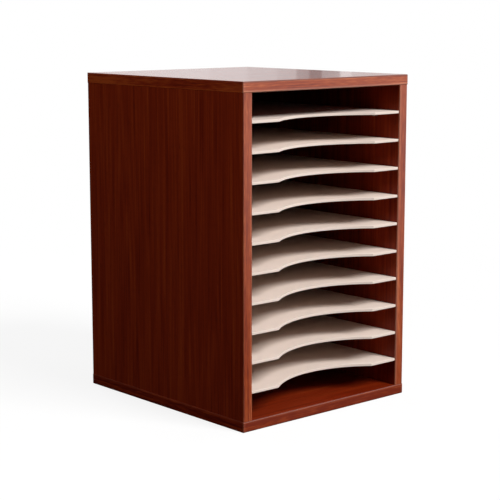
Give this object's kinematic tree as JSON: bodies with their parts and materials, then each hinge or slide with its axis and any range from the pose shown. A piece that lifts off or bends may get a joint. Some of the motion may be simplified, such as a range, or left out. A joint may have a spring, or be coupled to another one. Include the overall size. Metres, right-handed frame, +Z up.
{
  "type": "literature organizer",
  "caption": "Free-standing laminated wood cabinet, open at the front, with thin pull-out shelves that sort sheets and literature into flat compartments; each shelf has a finger scoop.",
  "frame": {"origin": "centre of the flat base, on the surface that it stands on", "axes": "+Z up, -Y out of the open front, +X to the right as seen from the front"},
  "size_m": [0.2698, 0.3016, 0.4064],
  "materials": {
    "mahogany_laminate": "satin",
    "mahogany_edge_band": "satin",
    "back_hardboard": "matte",
    "shelf_hardboard": "satin",
    "dowel_wood": "matte",
    "pin_steel": "satin"
  },
  "bodies": {
    "cabinet": {"top_panel": "mahogany_laminate", "bottom_panel": "mahogany_laminate", "left_side_panel": "mahogany_laminate", "right_side_panel": "mahogany_laminate", "back_panel": "back_hardboard", "top_front_band": "mahogany_edge_band", "bottom_front_band": "mahogany_edge_band", "left_front_band": "mahogany_edge_band", "right_front_band": "mahogany_edge_band", "top_left_end_band": "mahogany_edge_band", "top_right_end_band": "mahogany_edge_band", "bottom_left_end_band": "mahogany_edge_band", "bottom_right_end_band": "mahogany_edge_band", "joint_dowels": "dowel_wood", "shelf_pins": "pin_steel"},
    "shelf_01_body": {"shelf_01": "shelf_hardboard"},
    "shelf_02_body": {"shelf_02": "shelf_hardboard"},
    "shelf_03_body": {"shelf_03": "shelf_hardboard"},
    "shelf_04_body": {"shelf_04": "shelf_hardboard"},
    "shelf_05_body": {"shelf_05": "shelf_hardboard"},
    "shelf_06_body": {"shelf_06": "shelf_hardboard"},
    "shelf_07_body": {"shelf_07": "shelf_hardboard"},
    "shelf_08_body": {"shelf_08": "shelf_hardboard"},
    "shelf_09_body": {"shelf_09": "shelf_hardboard"},
    "shelf_10_body": {"shelf_10": "shelf_hardboard"}
  },
  "joints": [
    {"name": "shelf_01_slide", "type": "slide", "parent": "cabinet", "child": "shelf_01_body", "axis": [0, -1, 0], "range_m": [0, 0.25]},
    {"name": "shelf_02_slide", "type": "slide", "parent": "cabinet", "child": "shelf_02_body", "axis": [0, -1, 0], "range_m": [0, 0.25]},
    {"name": "shelf_03_slide", "type": "slide", "parent": "cabinet", "child": "shelf_03_body", "axis": [0, -1, 0], "range_m": [0, 0.25]},
    {"name": "shelf_04_slide", "type": "slide", "parent": "cabinet", "child": "shelf_04_body", "axis": [0, -1, 0], "range_m": [0, 0.25]},
    {"name": "shelf_05_slide", "type": "slide", "parent": "cabinet", "child": "shelf_05_body", "axis": [0, -1, 0], "range_m": [0, 0.25]},
    {"name": "shelf_06_slide", "type": "slide", "parent": "cabinet", "child": "shelf_06_body", "axis": [0, -1, 0], "range_m": [0, 0.25]},
    {"name": "shelf_07_slide", "type": "slide", "parent": "cabinet", "child": "shelf_07_body", "axis": [0, -1, 0], "range_m": [0, 0.25]},
    {"name": "shelf_08_slide", "type": "slide", "parent": "cabinet", "child": "shelf_08_body", "axis": [0, -1, 0], "range_m": [0, 0.25]},
    {"name": "shelf_09_slide", "type": "slide", "parent": "cabinet", "child": "shelf_09_body", "axis": [0, -1, 0], "range_m": [0, 0.25]},
    {"name": "shelf_10_slide", "type": "slide", "parent": "cabinet", "child": "shelf_10_body", "axis": [0, -1, 0], "range_m": [0, 0.25]}
  ]
}
